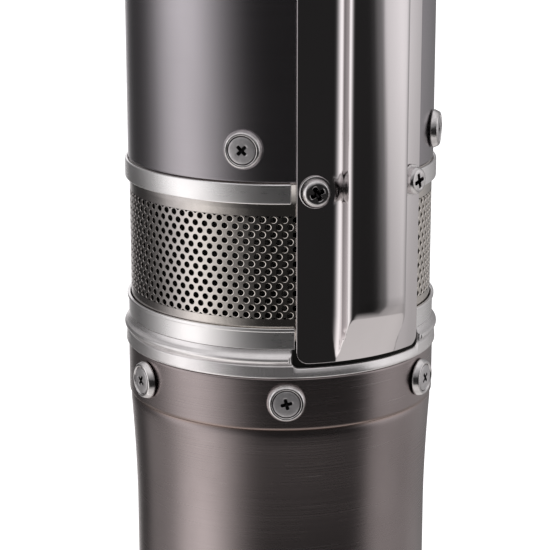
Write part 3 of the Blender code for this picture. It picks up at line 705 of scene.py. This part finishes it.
def holeCell():
    # flat cell round one hole: X along the sheet, Z up, -Y outwards
    size = strainerSizes
    half = math.radians(size["columnPitch"]) * size["radius"] / 2
    tall = size["rowPitch"] / 2
    sheet, sides = size["sheet"], size["sides"]
    shape = bmesh.new()
    border = [(half, 0), (half, tall), (0, tall), (-half, tall), (-half, 0), (-half, -tall), (0, -tall), (half, -tall)]

    def ring(radius, depth, aside=0.0):
        made = []
        for index in range(sides):
            turn = 2 * math.pi * index / sides
            place = ((radius * math.cos(turn) + aside) * mm, depth * mm, radius * math.sin(turn) * mm)
            made.append(shape.verts.new(place))
        return made

    lipStart = ring(size["lip"], 0.0, size["lipAside"])
    lipMiddle = ring(size["lip"] * 0.35 + size["hole"] * 0.65, size["lipDepth"] * 0.3)
    lipEnd = ring(size["hole"], size["lipDepth"])
    back = ring(size["hole"], sheet)
    for near, far in ((lipStart, lipMiddle), (lipMiddle, lipEnd), (lipEnd, back)):
        for index in range(sides):
            later = (index + 1) % sides
            shape.faces.new((near[index], far[index], far[later], near[later]))
    for hole, depth in ((lipStart, 0.0), (back, sheet)):
        frameLine = [shape.verts.new((x * mm, depth * mm, z * mm)) for x, z in border]
        for corner in range(8):
            here, later = frameLine[corner], frameLine[(corner + 1) % 8]
            first = corner * 2
            faces = [
                (here, hole[first], hole[(first + 1) % sides]),
                (here, hole[(first + 1) % sides], later),
                (later, hole[(first + 1) % sides], hole[(first + 2) % sides]),
            ]
            for face in faces:
                shape.faces.new(face if depth == 0.0 else face[::-1])
    rim = set(lipStart)
    for edge in shape.edges:
        if edge.verts[0] in rim and edge.verts[1] in rim:
            edge.smooth = False
    shape.normal_update()
    mesh = bpy.data.meshes.new("holeCell")
    shape.to_mesh(mesh)
    shape.free()
    mesh.shade_smooth()
    return mesh


def sheetMargins():
    # the plain parts of the sheet, flat, in the half pitches that the cells end on
    size = strainerSizes
    radius, sheet = size["radius"], size["sheet"]
    step = math.radians(size["columnPitch"]) * radius / 2
    first = math.radians(size["firstHole"]) * radius - step
    start = math.radians(size["end"]) * radius
    finish = math.radians(360.0 - size["end"]) * radius
    halves = size["columns"] * 2 + 1
    lines = [start] + [first + step * index for index in range(halves + 1)] + [finish]
    low = size["lowestRow"] - size["rowPitch"] / 2
    levels = [size["bottom"], low - 2.0] + [low + size["rowPitch"] * row for row in range(size["rows"] + 1)]
    levels += [levels[-1] + 2.0, size["top"]]
    shape = bmesh.new()
    front = {}
    back = {}

    def corner(store, column, level, depth):
        if (column, level) not in store:
            store[column, level] = shape.verts.new((lines[column] * mm, depth * mm, levels[level] * mm))
        return store[column, level]

    lastColumn, lastLevel = len(lines) - 1, len(levels) - 1
    for level in range(lastLevel):
        row = level - 2
        shifted = (size["rows"] - 1 - row) % 2 == 1
        for column in range(lastColumn):
            inRows = 0 <= row < size["rows"]
            left, right = (2, lastColumn - 1) if shifted else (1, lastColumn - 2)
            if inRows and left <= column < right:
                continue
            places = [(column, level), (column + 1, level), (column + 1, level + 1), (column, level + 1)]
            shape.faces.new([corner(front, *place, 0.0) for place in places])
            shape.faces.new([corner(back, *place, sheet) for place in reversed(places)])
    rim = [(column, 0) for column in range(lastColumn)] + [(lastColumn, level) for level in range(lastLevel)]
    rim += [(column, lastLevel) for column in range(lastColumn, 0, -1)] + [(0, level) for level in range(lastLevel, 0, -1)]
    for place, later in zip(rim, rim[1:] + rim[:1]):
        shape.faces.new((front[later], front[place], back[place], back[later]))
    shape.normal_update()
    mesh = bpy.data.meshes.new("strainer")
    shape.to_mesh(mesh)
    shape.free()
    mesh.shade_smooth()
    return mesh


def perforationTree():
    tree = newTree("perforatedSheet")
    names = {}
    for name, kind, value in (
        ("Cell", "NodeSocketObject", None), ("Columns", "NodeSocketInt", 81), ("Rows", "NodeSocketInt", 14),
        ("First Hole", "NodeSocketFloat", 0.0), ("Column Pitch", "NodeSocketFloat", 0.003),
        ("Lowest Row", "NodeSocketFloat", 0.287), ("Row Pitch", "NodeSocketFloat", 0.0022),
        ("Radius", "NodeSocketFloat", 0.0477), ("Merge Distance", "NodeSocketFloat", 0.00002),
        ("Material", "NodeSocketMaterial", None),
    ):
        names[name] = treeInput(tree, name, kind, value)
    sheet = Sheet(tree)
    entry = tree.nodes.new("NodeGroupInput")
    given = {output.name: Socket(sheet, output) for output in entry.outputs if output.name}
    count = given["Columns"] * given["Rows"]
    points = sheet.node("GeometryNodePoints", None, {"Count": count})
    index = sheet.node("GeometryNodeInputIndex")
    column = (index / given["Rows"] + 0.001).maths("FLOOR")
    row = index - column * given["Rows"]
    fromTop = given["Rows"] - 1.0 - row
    shift = (fromTop + 0.01).maths("MODULO", 2.0).maths("GREATER_THAN", 0.5)
    along = given["First Hole"] + (column + shift * 0.5) * given["Column Pitch"]
    height = given["Lowest Row"] + row * given["Row Pitch"]
    flat = sheet.node("ShaderNodeCombineXYZ", None, {0: along, 1: 0.0, 2: height})
    placed = sheet.node("GeometryNodeSetPosition", None, {"Geometry": points, "Position": flat})
    cell = sheet.node("GeometryNodeObjectInfo", None, {"Object": given["Cell"], "As Instance": True}, 4)
    cells = sheet.node("GeometryNodeInstanceOnPoints", None, {"Points": placed, "Instance": cell})
    real = sheet.node("GeometryNodeRealizeInstances", None, {"Geometry": cells})
    join = tree.nodes.new("GeometryNodeJoinGeometry")
    tree.links.new(given["Geometry"].link, join.inputs[0])
    tree.links.new(real.link, join.inputs[0])
    whole = Socket(sheet, join.outputs[0])
    merged = sheet.node("GeometryNodeMergeByDistance", None, {"Geometry": whole, "Distance": given["Merge Distance"]})
    parts = tree.nodes.new("ShaderNodeSeparateXYZ")
    tree.links.new(sheet.node("GeometryNodeInputPosition").link, parts.inputs[0])
    x, y, z = [Socket(sheet, output) for output in parts.outputs]
    turn = x / given["Radius"]
    reach = given["Radius"] - y
    bent = {0: reach * turn.maths("SINE"), 1: -(reach * turn.maths("COSINE")), 2: z}
    bentPlace = sheet.node("ShaderNodeCombineXYZ", None, bent)
    rolled = sheet.node("GeometryNodeSetPosition", None, {"Geometry": merged, "Position": bentPlace})
    plain = sheet.node("GeometryNodeRealizeInstances", None, {"Geometry": rolled})
    dressed = sheet.node("GeometryNodeSetMaterial", None, {"Geometry": plain, "Material": given["Material"]})
    last = tree.nodes.new("NodeGroupOutput")
    tree.links.new(dressed.link, last.inputs[0])
    return tree, names


def strainer():
    size = strainerSizes
    cell = addPiece("holeCell", holeCell())
    piece = addPiece("strainer", sheetMargins())
    tree, names = perforationTree()
    grown(piece, tree, {
        names["Cell"]: cell, names["Columns"]: size["columns"], names["Rows"]: size["rows"],
        names["First Hole"]: math.radians(size["firstHole"]) * size["radius"] * mm,
        names["Column Pitch"]: math.radians(size["columnPitch"]) * size["radius"] * mm,
        names["Lowest Row"]: size["lowestRow"] * mm, names["Row Pitch"]: size["rowPitch"] * mm,
        names["Radius"]: size["radius"] * mm, names["Merge Distance"]: 0.00002,
        names["Material"]: strainerSteel,
    })
    bpy.data.objects.remove(cell, do_unlink=True)
    return finishPiece(piece, "bright_steel", "strainer_screen")


strainer()


# ---- cable guard

print("guard")

guardSizes = {
    "radius": 49.3, "sheet": 1.0, "rise": 7.2, "footAngle": 15.95, "footBend": 3.9, "crownBend": 2.8, "wallTurn": 77.0, "halfWidth": 26.5,
    "bottom": 273.05, "top": 533.0, "corner": 3.6, "rampTop": 288.2, "pinch": 1.3,
    "screwAngle": 20.2, "screwHeights": (325.3, 512.0), "hollow": 5.7, "hollowSlope": 1.3, "edge": 0.22,
}


def guardSection():
    # half the section from the middle outwards, as (arc length at the flange, rise)
    size = guardSizes
    turn = math.radians(size["wallTurn"])
    foot = math.radians(size["footAngle"]) * size["radius"]
    low, high = size["footBend"], size["crownBend"]
    wall = size["rise"] - (low + high) * (1 - math.cos(turn))
    crownEnd = foot - (low + high) * math.sin(turn) - wall / math.tan(turn)
    section = [(crownEnd * step / 8, size["rise"]) for step in range(8)]
    for step in range(12):
        angle = turn * step / 11
        section.append((crownEnd + high * math.sin(angle), size["rise"] - high * (1 - math.cos(angle))))
    for step in range(13):
        angle = turn * (1 - step / 12)
        section.append((foot - low * math.sin(angle), low * (1 - math.cos(angle))))
    edge = math.radians(size["halfWidth"]) * size["radius"]
    flat = [foot + (edge - size["corner"] - foot) * step / 12 for step in range(1, 13)]
    corner = [edge - size["corner"] * (1 - math.sin(math.radians(turn))) for turn in (12, 24, 36, 48, 60, 90)]
    return section + [(place, 0.0) for place in flat + corner]


def softMinimum(first, second, blend):
    share = max(0.0, min(1.0, 0.5 + 0.5 * (second - first) / blend))
    return second * (1 - share) + first * share - blend * share * (1 - share)


def guardEdgeHeight(place):
    size = guardSizes
    inset = abs(place) - (math.radians(size["halfWidth"]) * size["radius"] - size["corner"])
    if inset <= 0.0:
        return size["bottom"]
    return size["bottom"] + size["corner"] - math.sqrt(max(0.0, size["corner"] ** 2 - min(inset, size["corner"]) ** 2))


def guardRise(place, rise, height):
    size = guardSizes
    ramp = (height - size["bottom"]) / (size["rampTop"] - size["bottom"]) * size["rise"]
    if height < size["rampTop"] + 3.0:
        drop = size["pinch"] * max(0.0, 1.0 - ramp / size["rise"]) ** 2
        rise = max(0.0, softMinimum(max(0.0, rise - drop), ramp, 0.5))
    across = math.radians(size["screwAngle"]) * size["radius"] - abs(place)
    along = min(abs(height - screw) for screw in size["screwHeights"])
    hollow = (math.hypot(across, along) - size["hollow"]) / size["hollowSlope"]
    return rise * smoothShare(hollow)


def cableGuard():
    size = guardSizes
    half = guardSection()
    section = [(-place, rise) for place, rise in reversed(half[1:])] + half
    levels = [size["bottom"] + step * 0.7 for step in range(22)]
    levels = [level for level in levels if level < 289.4]
    levels += [290.5, 293, 297, 301, 305, 309, 313, 316]
    levels += [317.0 + 0.55 * step for step in range(31)]
    levels += [336, 340, 346, 355, 370, 390, 410, 430, 450, 470, 485, 495, 500, 502.5]
    levels += [504.0 + 0.55 * step for step in range(30)]
    levels += [522.5, 526, 530, 533.0]
    shape = bmesh.new()
    grid = []
    for place, rise in section:
        edge = guardEdgeHeight(place)
        squeeze = (289.4 - edge) / (289.4 - size["bottom"])
        column = []
        for level in levels:
            height = edge + (level - size["bottom"]) * squeeze if level < 289.4 else level
            out = guardRise(place, rise, height)
            column.append(shape.verts.new(polar(size["radius"] + out, math.degrees(place / size["radius"]), height)))
        grid.append(column)
    for left, right in zip(grid, grid[1:]):
        for row in range(len(levels) - 1):
            shape.faces.new((left[row], right[row], right[row + 1], left[row + 1]))
    bmesh.ops.remove_doubles(shape, verts=shape.verts, dist=0.00001)
    shape.normal_update()
    piece = addPiece("cableGuard", meshFrom(shape, "cableGuard", 0, recalculate=False), mirrorSteel)
    sheet = piece.modifiers.new("sheet", "SOLIDIFY")
    sheet.thickness = size["sheet"] * mm
    sheet.offset = -1.0
    sheet.use_even_offset = False
    bevel = piece.modifiers.new("edge", "BEVEL")
    bevel.width = size["edge"] * mm
    bevel.segments = 2
    bevel.use_clamp_overlap = False
    bevel.limit_method = "ANGLE"
    bevel.angle_limit = math.radians(60)
    bevel.harden_normals = True
    madePlain(piece)
    return finishPiece(piece, "polished_steel", "cable_guard")


cableGuard()


# ---- screws

print("screws")

countersunkSizes = {"head": 4.02, "top": 1.95, "dome": 0.14, "shank": 1.9, "depth": 6.5, "arm": 1.85, "width": 0.52, "recess": 1.7}
panSizes = {"head": 4.15, "top": 3.1, "washer": 4.8, "washerTop": 0.55, "shank": 1.9, "depth": 6.5, "arm": 2.3, "width": 0.66, "recess": 2.0}
cupSizes = {"radius": 5.9, "seat": 2.6, "rim": 0.55, "top": 2.1, "ring": 4.95, "inner": 4.42}


def crossReach(turn, arm, width):
    # distance from the middle to the edge of a cross-shaped recess in this direction
    turn = (turn + math.pi / 4) % (math.pi / 2) - math.pi / 4
    throat = width * 1.55
    if abs(turn) < 1e-9:
        return arm
    side = width / abs(math.sin(turn))
    tip = arm / math.cos(turn) * (1 - 0.10 * (abs(turn) / math.atan(width / arm)) ** 2) if side > arm else side
    return max(min(side, tip), min(throat, side))


def crossTurns():
    near = [0.0, 6.0, 11.0, 15.0, 17.5, 21.0, 27.0, 36.0, 45.0]
    quarter = [-turn for turn in reversed(near[1:])] + near[:-1]
    return [math.radians(90.0 * side + turn) for side in range(4) for turn in quarter]


def screwMesh(name, size, outer):
    # outer is the outline outside the recess, from the shank's end to the recess
    turns = crossTurns()
    shape = bmesh.new()
    rings = []
    for radius, height in outer:
        if radius == 0.0:
            rings.append([shape.verts.new((0, 0, height * mm))] * len(turns))
        else:
            rings.append([shape.verts.new((radius * math.cos(t) * mm, radius * math.sin(t) * mm, height * mm)) for t in turns])
    top = size["top"] + size.get("dome", 0.0)
    for share, height in ((1.10, top), (1.03, top - 0.05), (0.97, top - 0.16), (0.80, top - size["recess"] * 0.7), (0.45, top - size["recess"])):
        ring = []
        for turn in turns:
            reach = crossReach(turn, size["arm"], size["width"]) * share
            ring.append(shape.verts.new((reach * math.cos(turn) * mm, reach * math.sin(turn) * mm, height * mm)))
        rings.append(ring)
    rings.append([shape.verts.new((0, 0, (top - size["recess"] * 1.15) * mm))] * len(turns))
    shape.verts.index_update()
    inside = {vert.index for ring in rings[-4:] for vert in ring}
    for ring, following in zip(rings, rings[1:]):
        for index in range(len(turns)):
            later = (index + 1) % len(turns)
            corners = list(dict.fromkeys([ring[index], ring[later], following[later], following[index]]))
            if len(corners) > 2:
                shape.faces.new(corners)
    mesh = meshFrom(shape, name, 40)
    # the recess attribute marks where the screw materials paint shade inside the cross
    recess = mesh.attributes.new("recess", "FLOAT", "POINT")
    for index in inside:
        recess.data[index].value = 1.0
    return mesh


def countersunkScrew():
    size = countersunkSizes
    outer = [
        (0.0, -size["depth"]), (size["shank"], -size["depth"]), (size["shank"], 0.0),
        (size["head"] - 0.12, size["top"] - 0.32), (size["head"], size["top"] - 0.18), (size["head"] - 0.05, size["top"] - 0.06),
        (size["head"] - 0.2, size["top"]), (3.2, size["top"] + size["dome"] * 0.6), (2.5, size["top"] + size["dome"] * 0.9),
    ]
    return screwMesh("countersunkScrew", size, outer)


def panScrew():
    size = panSizes
    head, top, washer, washerTop = size["head"], size["top"], size["washer"], size["washerTop"]
    outer = [
        (0.0, -size["depth"]), (size["shank"], -size["depth"]), (size["shank"], 0.0), (washer - 0.1, 0.0), (washer, 0.12),
        (washer, washerTop - 0.14), (washer - 0.14, washerTop), (head, washerTop + 0.02), (head + 0.03, washerTop + 0.5),
        (head, top - 1.35), (head - 0.10, top - 0.95), (head - 0.28, top - 0.6), (head - 0.55, top - 0.28),
        (head - 0.85, top - 0.1), (head - 1.15, top - 0.02), (2.75, top),
    ]
    return screwMesh("panScrew", size, outer)


def cupWasher():
    size = cupSizes
    radius, top, ring, inner = size["radius"], size["top"], size["ring"], size["inner"]
    outline = [
        (size["seat"], 0.0), (radius - 0.15, 0.0), (radius, 0.14), (radius, size["rim"] - 0.1), (radius - 0.05, size["rim"] + 0.08),
        (radius - 0.22, size["rim"] + 0.4), (ring + 0.38, top - 0.38), (ring + 0.16, top - 0.13), (ring - 0.05, top - 0.02),
        (ring - 0.2, top), (inner + 0.12, top), (inner, top - 0.08), (inner - 0.08, top - 0.25), (inner - 0.55, top - 0.9),
    ]
    shape = bmesh.new()
    steps = 64
    rings = []
    for distance, height in outline:
        rings.append([shape.verts.new((
            distance * math.cos(2 * math.pi * step / steps) * mm,
            distance * math.sin(2 * math.pi * step / steps) * mm,
            height * mm,
        )) for step in range(steps)])
    for lower, upper in zip(rings, rings[1:] + rings[:1]):
        for step in range(steps):
            later = (step + 1) % steps
            shape.faces.new((lower[step], lower[later], upper[later], upper[step]))
    return meshFrom(shape, "cupWasher", 40)


def rowTree():
    # stands the same fastener on every seat of a row, turned by a given amount round its own axis
    tree = newTree("fastenerRow")
    names = {}
    for name, kind, value in (
        ("Fastener", "NodeSocketObject", None), ("Scale", "NodeSocketFloat", 1.0), ("Material", "NodeSocketMaterial", None),
    ):
        names[name] = treeInput(tree, name, kind, value)
    sheet = Sheet(tree)
    entry = tree.nodes.new("NodeGroupInput")
    given = {output.name: Socket(sheet, output) for output in entry.outputs if output.name}
    facing = sheet.node("GeometryNodeInputNamedAttribute", {"data_type": "FLOAT_VECTOR"}, {"Name": "facing"})
    fastener = sheet.node("GeometryNodeObjectInfo", None, {"Object": given["Fastener"], "As Instance": True}, 4)
    sockets = {"Points": given["Geometry"], "Instance": fastener, "Rotation": facing, "Scale": given["Scale"]}
    row = sheet.node("GeometryNodeInstanceOnPoints", None, sockets)
    real = sheet.node("GeometryNodeRealizeInstances", None, {"Geometry": row})
    dressed = sheet.node("GeometryNodeSetMaterial", None, {"Geometry": real, "Material": given["Material"]})
    last = tree.nodes.new("NodeGroupOutput")
    tree.links.new(dressed.link, last.inputs[0])
    return tree, names


fastenerTree, fastenerInputs = rowTree()


def fastenerRow(name, pattern, seats, nodes, material=None):
    # seats are (angle, height, radius of the surface, twist)
    mesh = bpy.data.meshes.new(name)
    mesh.from_pydata([tuple(polar(radius + 0.3, angle, height)) for angle, height, radius, twist in seats], [], [])
    facing = mesh.attributes.new("facing", "FLOAT_VECTOR", "POINT")
    for index, (angle, height, radius, twist) in enumerate(seats):
        facing.data[index].vector = outwardTurn(angle, twist).to_euler()
    piece = addPiece(name, mesh)
    grown(piece, fastenerTree, {
        fastenerInputs["Fastener"]: pattern, fastenerInputs["Scale"]: 1.0, fastenerInputs["Material"]: material or screwSteel,
    })
    return finishPiece(piece, "screw_steel", *nodes)


def seatsRound(angles, height, radius, twists):
    return [(angle, height, radius, twist) for angle, twist in zip(angles, twists)]


def allScrews():
    countersunk = addPiece("countersunkPattern", countersunkScrew())
    pan = addPiece("panPattern", panScrew())
    cup = addPiece("cupPattern", cupWasher())
    pumpSeats = seatsRound((45, 142, 218, 315), 337.6, 48.0, (12, 70, 28, 45))
    motorSeats = seatsRound((30, 90, 150, 210, 270, 330), 261.2, 48.8, (40, 66, 5, 33, 58, 14))
    headSeats = seatsRound((45, 142, 218, 315), 521.3, 48.0, (20, 55, 80, 35))
    baseSeats = seatsRound((60, 180, 300), 22.0, 46.9, (10, 50, 30))
    lowerSeats = seatsRound((20.2, -20.2), 325.3, 49.3, (15, 26))
    upperSeats = seatsRound((20.2, -20.2), 512.0, 49.3, (48, 8))
    numbered = lambda name, count: [f"{name}_{number}" for number in range(1, count + 1)]
    fastenerRow("pumpShellScrews", countersunk, pumpSeats, numbered("pump_shell_screw", 4), headSteel)
    fastenerRow("pumpShellWashers", cup, pumpSeats, numbered("pump_shell_washer", 4))
    fastenerRow("motorShellScrews", countersunk, motorSeats, numbered("motor_shell_screw", 6), headSteel)
    fastenerRow("motorShellWashers", cup, motorSeats, numbered("motor_shell_washer", 6))
    fastenerRow("headScrews", pan, headSeats, numbered("head_screw", 4))
    fastenerRow("baseScrews", pan, baseSeats, numbered("base_screw", 3))
    fastenerRow("guardLowerScrews", pan, lowerSeats, numbered("guard_lower_screw", 2))
    fastenerRow("guardUpperScrews", pan, upperSeats, numbered("guard_upper_screw", 2))
    for pattern in (countersunk, pan, cup):
        bpy.data.objects.remove(pattern, do_unlink=True)


allScrews()


# ---- inner pieces that keep their solids

print("inner pieces")

for nodeName, material in (
    ("motor_stator", coreSteel), ("pump_stage_stack", coreSteel), ("intake_housing", coreSteel),
    ("cable_gland", glandRubber), ("motor_fill_plug", screwSteel), ("discharge_head", castSteel), ("motor_base", castSteel),
):
    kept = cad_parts[nodeName]
    kept.data.materials.clear()
    kept.data.materials.append(material)


# ---- floor, light and camera

print("studio")

studioSizes = {
    "floorReach": 20.0,
    "round": (
        (-180, 1.0), (-166, 1.0), (-157, 0.35), (-148, 0.11), (-138, 0.06), (-126, 0.07), (-116, 0.14), (-107, 0.32),
        (-98, 0.70), (-88, 1.10), (-76, 1.32), (-64, 1.08), (-54, 0.68), (-44, 0.34), (-34, 0.13), (-25, 0.04),
        (-12, 0.02), (53, 0.02), (56.5, 0.045), (59.5, 0.16), (62.8, 0.22), (63.8, 0.50), (65.2, 0.78), (71, 0.88),
        (77, 1.0), (100, 0.82), (114, 0.66), (130, 0.46), (150, 0.30), (168, 0.20), (180, 0.38),
    ),
    "lowGlow": 0.42,
    "lean": -0.03,
    "drift": -0.022,
}
cameraSizes = {"azimuth": -32.0, "distance": 587.8, "height": 437.5, "pitch": 14.26, "lens": 123.8, "shift": -0.0101}


def studioFloor():
    reach = studioSizes["floorReach"]
    mesh = bpy.data.meshes.new("floor")
    mesh.from_pydata([(-reach, -reach, 0), (reach, -reach, 0), (reach, reach, 0), (-reach, reach, 0)], [], [(0, 1, 2, 3)])
    paint = Finish("floorPaint")
    speck = paint.noise((1.0, 1.0, 1.0), 3.0, 2.0, 0.5)
    shade = paint.mix(speck.band(0.3, 0.7) * 0.3, colour(0.9, 0.9, 0.9), colour(0.87, 0.87, 0.875))
    paint.set(Base_Color=shade, Roughness=0.9, Emission_Color=colour(1, 1, 1), Emission_Strength=0.7)
    floor = addPiece("floor", mesh, paint.material)
    floor.visible_glossy = False
    return floor


def studioLight():
    world = bpy.data.worlds.new("studio")
    bpy.context.scene.world = world
    world.use_nodes = True
    sheet = Sheet(world.node_tree)
    world.node_tree.nodes.clear()
    look = sheet.node("ShaderNodeTexCoord", output=0)
    parts = world.node_tree.nodes.new("ShaderNodeSeparateXYZ")
    world.node_tree.links.new(look.link, parts.inputs[0])
    x, y, z = [Socket(sheet, output) for output in parts.outputs]
    front = direction(cameraSizes["azimuth"])
    side = direction(cameraSizes["azimuth"] + 90.0)
    turn = (x * side.x + y * side.y).maths("ARCTAN2", x * front.x + y * front.y) / (2 * math.pi)
    lean = z.band(-0.36, -0.14, studioSizes["lean"], 0.0) * turn.band(-0.1, 0.1, 1.0, 0.0) * turn.band(-0.40, -0.28)
    lean = lean + z.band(-0.30, 0.0, studioSizes["drift"], 0.0) * turn.band(0.06, 0.12) * turn.band(0.27, 0.36, 1.0, 0.0)
    stops = [((angle + 180) / 360, colour(light / 1.4, light / 1.4, light / 1.4)) for angle, light in studioSizes["round"]]
    walls = sheet.node("ShaderNodeValToRGB", {"stops": stops}, {0: turn + lean + 0.5}) * 1.4
    dim = z.band(-0.36, -0.1, 0.5, 1.0)
    dimmed = turn.band(0.1, 0.2) * turn.band(0.30, 0.38, 1.0, 0.0)
    walls = walls * (1.0 - (1.0 - dim) * dimmed) * z.band(0.5, 0.8, 1.0, 0.3)
    glow = turn.band(-0.39, -0.33) * turn.band(-0.2, -0.14, 1.0, 0.0) * z.band(-0.38, -0.3, studioSizes["lowGlow"], 0.0)
    walls = walls.maths("MAXIMUM", glow)
    ceiling = z.band(0.05, 0.35) * 0.3 + z.band(0.4, 0.9) * 0.5
    ground = z.band(-0.42, -0.75, 0.0, 0.7)
    total = walls.maths("MAXIMUM", ceiling).maths("MAXIMUM", ground)
    warm = sheet.mix((z * -1.0).band(0.0, 0.5), (1.0, 0.985, 1.0, 1.0), (1.0, 0.97, 0.96, 1.0))
    paths = world.node_tree.nodes.new("ShaderNodeLightPath")
    seen = Socket(sheet, paths.outputs["Is Camera Ray"])
    shine = sheet.node("ShaderNodeBackground", None, {"Color": warm, "Strength": total})
    white = sheet.node("ShaderNodeBackground", None, {"Color": (1, 1, 1, 1), "Strength": 1.0})
    both = sheet.node("ShaderNodeMixShader", None, {0: seen, 1: shine, 2: white})
    last = world.node_tree.nodes.new("ShaderNodeOutputWorld")
    world.node_tree.links.new(both.link, last.inputs["Surface"])


def camera():
    size = cameraSizes
    lens = bpy.data.cameras.new("camera")
    lens.lens = size["lens"]
    lens.sensor_width = 36.0
    lens.shift_x = size["shift"]
    lens.clip_start = 0.01
    lens.clip_end = 100.0
    eye = bpy.data.objects.new("camera", lens)
    bpy.context.scene.collection.objects.link(eye)
    eye.location = polar(size["distance"], size["azimuth"], size["height"])
    eye.rotation_euler = (math.radians(90.0 - size["pitch"]), 0.0, math.radians(size["azimuth"]))
    bpy.context.scene.camera = eye


studioFloor()
studioLight()
camera()
bpy.context.scene.view_settings.view_transform = "Standard"
